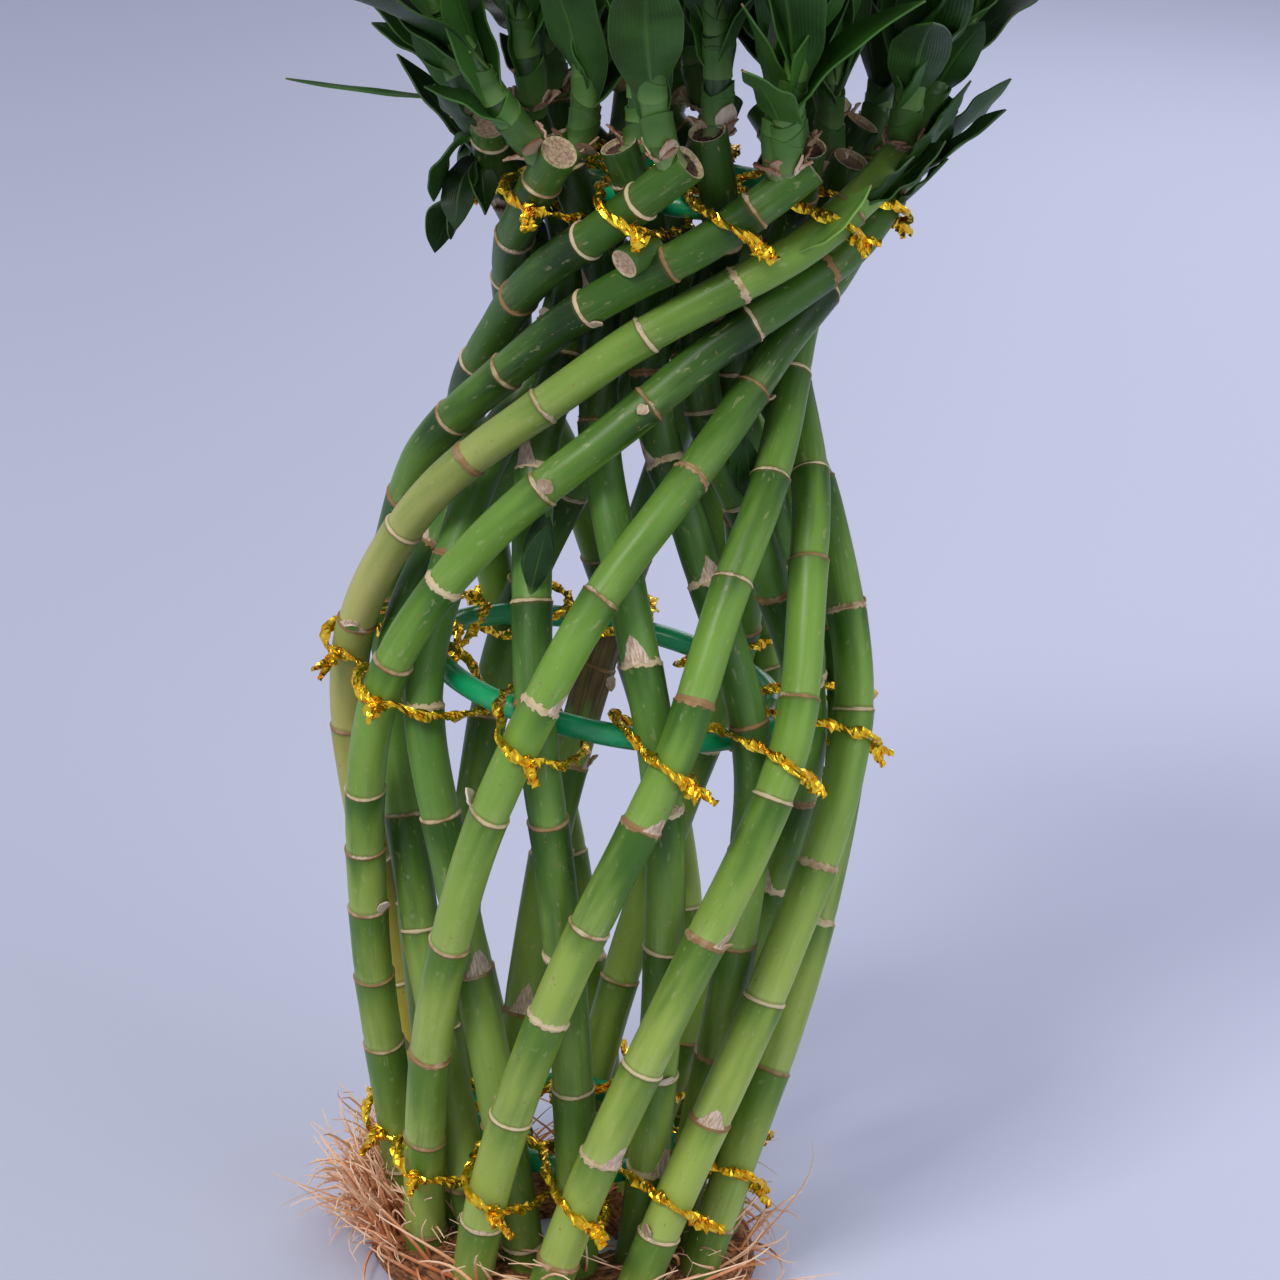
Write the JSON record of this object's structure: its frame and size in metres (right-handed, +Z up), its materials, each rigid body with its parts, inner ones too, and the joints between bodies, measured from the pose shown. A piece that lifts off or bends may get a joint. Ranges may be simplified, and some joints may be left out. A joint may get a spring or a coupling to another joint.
{
  "type": "lucky bamboo",
  "caption": "Lucky bamboo woven into an open vase: green stalks wind opposite ways round wire hoops, tied with gold foil, with leafy shoots on top and roots at the feet.",
  "frame": {"origin": "on the ground, under the middle of the bounding box", "axes": "+Z up along the height; the pictured side faces -Y, with +X to its right"},
  "size_m": [0.2128, 0.2126, 0.3879],
  "materials": {
    "outer_stalk": "living green stalk and leaf, satin",
    "inner_stalk": "living dark green stalk and leaf, satin",
    "yellow_stalk": "living yellow-green stalk and leaf, satin",
    "hoop": "green plastic coat on wire, gloss",
    "tie": "crumpled gold metallised foil, bright",
    "roots": "pale brown living roots, matte"
  },
  "bodies": {
    "root": {"bottom_hoop": "hoop", "bottom_tie_01": "tie", "bottom_tie_02": "tie", "bottom_tie_03": "tie", "bottom_tie_04": "tie", "bottom_tie_05": "tie", "bottom_tie_06": "tie", "bottom_tie_07": "tie", "bottom_tie_08": "tie", "bottom_tie_09": "tie", "bottom_tie_10": "tie", "bottom_tie_11": "tie", "middle_hoop": "hoop", "middle_tie_01": "tie", "middle_tie_02": "tie", "middle_tie_03": "tie", "middle_tie_04": "tie", "middle_tie_05": "tie", "middle_tie_06": "tie", "middle_tie_07": "tie", "middle_tie_08": "tie", "middle_tie_09": "tie", "middle_tie_10": "tie", "middle_tie_11": "tie", "top_hoop": "hoop", "top_tie_01": "tie", "top_tie_02": "tie", "top_tie_03": "tie", "top_tie_04": "tie", "top_tie_05": "tie", "top_tie_06": "tie", "top_tie_07": "tie", "top_tie_08": "tie", "top_tie_09": "tie", "top_tie_10": "tie", "top_tie_11": "tie", "outer_stalk_01": "outer_stalk", "outer_stalk_02": "outer_stalk", "outer_stalk_03": "outer_stalk", "outer_stalk_04": "outer_stalk", "outer_stalk_05": "outer_stalk", "outer_stalk_06": "outer_stalk", "outer_stalk_07": "outer_stalk", "outer_stalk_08": "yellow_stalk", "outer_stalk_09": "outer_stalk", "outer_stalk_10": "outer_stalk", "outer_stalk_11": "outer_stalk", "inner_stalk_01": "inner_stalk", "inner_stalk_02": "inner_stalk", "inner_stalk_03": "inner_stalk", "inner_stalk_04": "inner_stalk", "inner_stalk_05": "inner_stalk", "inner_stalk_06": "inner_stalk", "inner_stalk_07": "inner_stalk", "inner_stalk_08": "inner_stalk", "inner_stalk_09": "inner_stalk", "inner_stalk_10": "inner_stalk", "inner_stalk_11": "inner_stalk", "root_mat": "roots"}
  },
  "joints": []
}
